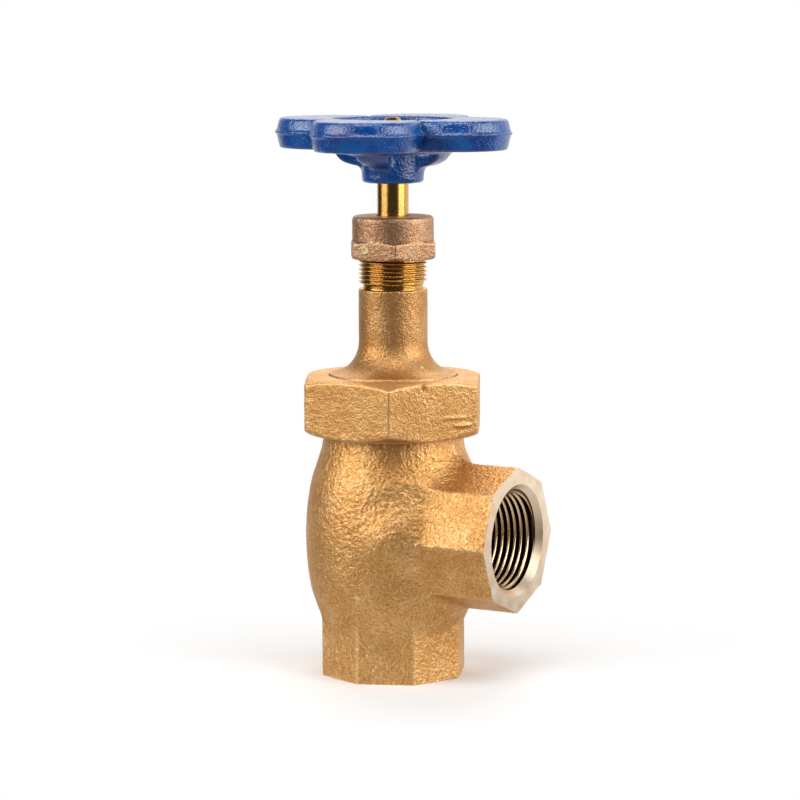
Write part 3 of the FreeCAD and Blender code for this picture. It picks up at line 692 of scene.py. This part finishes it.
# Turned and moulded pieces: the stem, the nuts and washers and the disc keep the
# solids' shapes, and only get their finish.
kept_finish = {"stem": turned_bronze, "wheel_washer": turned_bronze, "wheel_nut": turned_bronze,
               "packing_gland": turned_bronze, "disc_holder": turned_bronze, "disc_holder_nut": turned_bronze,
               "disc_washer": turned_bronze, "disc_nut": turned_bronze, "seat_disc": soft_white}
for name, node in nodes.items():
    if name in kept_finish or name.startswith("packing_ring"):
        for slot in node.material_slots:
            slot.material = kept_finish.get(name, braided)


# Stage: a pale bench that fades to white away from the valve, and a room that is white
# behind the valve and dim behind the lens. Distances are in metres.
def seen(tree):
    """1 for rays from the lens, and 1 for rays from mirrors and through glass."""
    rays = tree.nodes.new("ShaderNodeLightPath").outputs
    mirrored = Field(tree, rays["Is Glossy Ray"]).math("MAXIMUM", Field(tree, rays["Is Transmission Ray"]))
    return Field(tree, rays["Is Camera Ray"]), mirrored


bench_half = 0.35
fade_from = 0.04
fade_rate = 8.0
near_glow = 0.78
far_glow = 0.25
glow_from = 0.06
glow_rate = 6.0
corners = [(-bench_half, -bench_half, 0), (bench_half, -bench_half, 0),
           (bench_half, bench_half, 0), (-bench_half, bench_half, 0)]
floor_mesh = bpy.data.meshes.new("bench")
floor_mesh.from_pydata(corners, [], [(0, 1, 2, 3)])
bench = bpy.data.objects.new("bench", floor_mesh)
bpy.context.scene.collection.objects.link(bench)
pale = bpy.data.materials.new("pale_bench")
pale.use_nodes = True
floor_mesh.materials.append(pale)

# The bench is pale to the lens and greyer to the light that it throws back up. In
# mirrors it is bright near the valve, white far behind it, and dim elsewhere.
tree = pale.node_tree
plain = tree.nodes["Principled BSDF"]
plain.inputs["Roughness"].default_value = 0.8
x, y, _ = spot_in(tree)
away = hypot(x, y)
direct, mirrored = seen(tree)
plug(tree, direct * 0.5 + 0.4, plain.inputs["Base Color"])
far = ((away - fade_from) * fade_rate).between(0.0, 1.0)
glow = ((away - glow_from) * -glow_rate + near_glow).between(far_glow, near_glow)
behind = (x * -to_camera.x + y * -to_camera.y) * fade_rate
white = tree.nodes.new("ShaderNodeEmission")
plug(tree, direct.math("MAXIMUM", behind.between(glow, 1.0)), white.inputs["Strength"])
blend = tree.nodes.new("ShaderNodeMixShader")
plug(tree, mirrored.math("MAXIMUM", far * direct), blend.inputs[0])
tree.links.new(plain.outputs[0], blend.inputs[1])
tree.links.new(white.outputs[0], blend.inputs[2])
tree.links.new(blend.outputs[0], tree.nodes["Material Output"].inputs[0])

world = bpy.data.worlds.new("studio")
bpy.context.scene.world = world
world.use_nodes = True
tree = world.node_tree


def facing(tree, aim):
    """How far the studio lies in a direction: 1 ahead, 0 to the side, -1 behind."""
    node = tree.nodes.new("ShaderNodeVectorMath")
    node.operation = "DOT_PRODUCT"
    node.inputs[1].default_value = aim.normalized()
    tree.links.new(tree.nodes.new("ShaderNodeTexCoord").outputs["Generated"], node.inputs[0])
    return Field(tree, node.outputs["Value"])


room_light = 0.15
room_in_mirrors = 0.05
behind = (facing(tree, to_camera - to_right * 0.5) * -2.0 - 0.3).between(0.0, 1.0)
direct, mirrored = seen(tree)
room = mirrored * (room_in_mirrors - room_light) + room_light
level = direct.math("MAXIMUM", mirrored * behind).math("MAXIMUM", room)
plug(tree, level, tree.nodes["Background"].inputs["Strength"])
tree.nodes["Background"].inputs["Color"].default_value = (1, 1, 1, 1)


# Soft boxes: low on the left and on the right, high in front and high behind. Angles
# count from the camera to the right.
lamp_distance = 0.9
lamp_width = 0.8


def soft_box(name, angle, rise, height, power):
    """Lamp aimed at the valve."""
    lamp = bpy.data.objects.new(name, bpy.data.lights.new(name, "AREA"))
    lamp.data.shape = "RECTANGLE"
    lamp.data.size = lamp_width
    lamp.data.size_y = height
    lamp.data.energy = power
    turn = camera_angle + math.radians(angle)
    lift = math.radians(rise)
    away = Vector((math.sin(turn) * math.cos(lift), -math.cos(turn) * math.cos(lift), math.sin(lift)))
    lamp.location = Vector((0, 0, aim_height)) + away * lamp_distance
    lamp.rotation_mode = "QUATERNION"
    lamp.rotation_quaternion = (-away).to_track_quat("-Z", "Y")
    bpy.context.scene.collection.objects.link(lamp)


soft_box("left_box", -66, 20, 0.6, 6)
soft_box("right_box", 66, 18, 0.6, 6)
soft_box("front_box", 0, 62, 0.4, 4)
soft_box("back_box", 180, 55, 0.6, 4)
bpy.context.scene.view_settings.view_transform = "Standard"
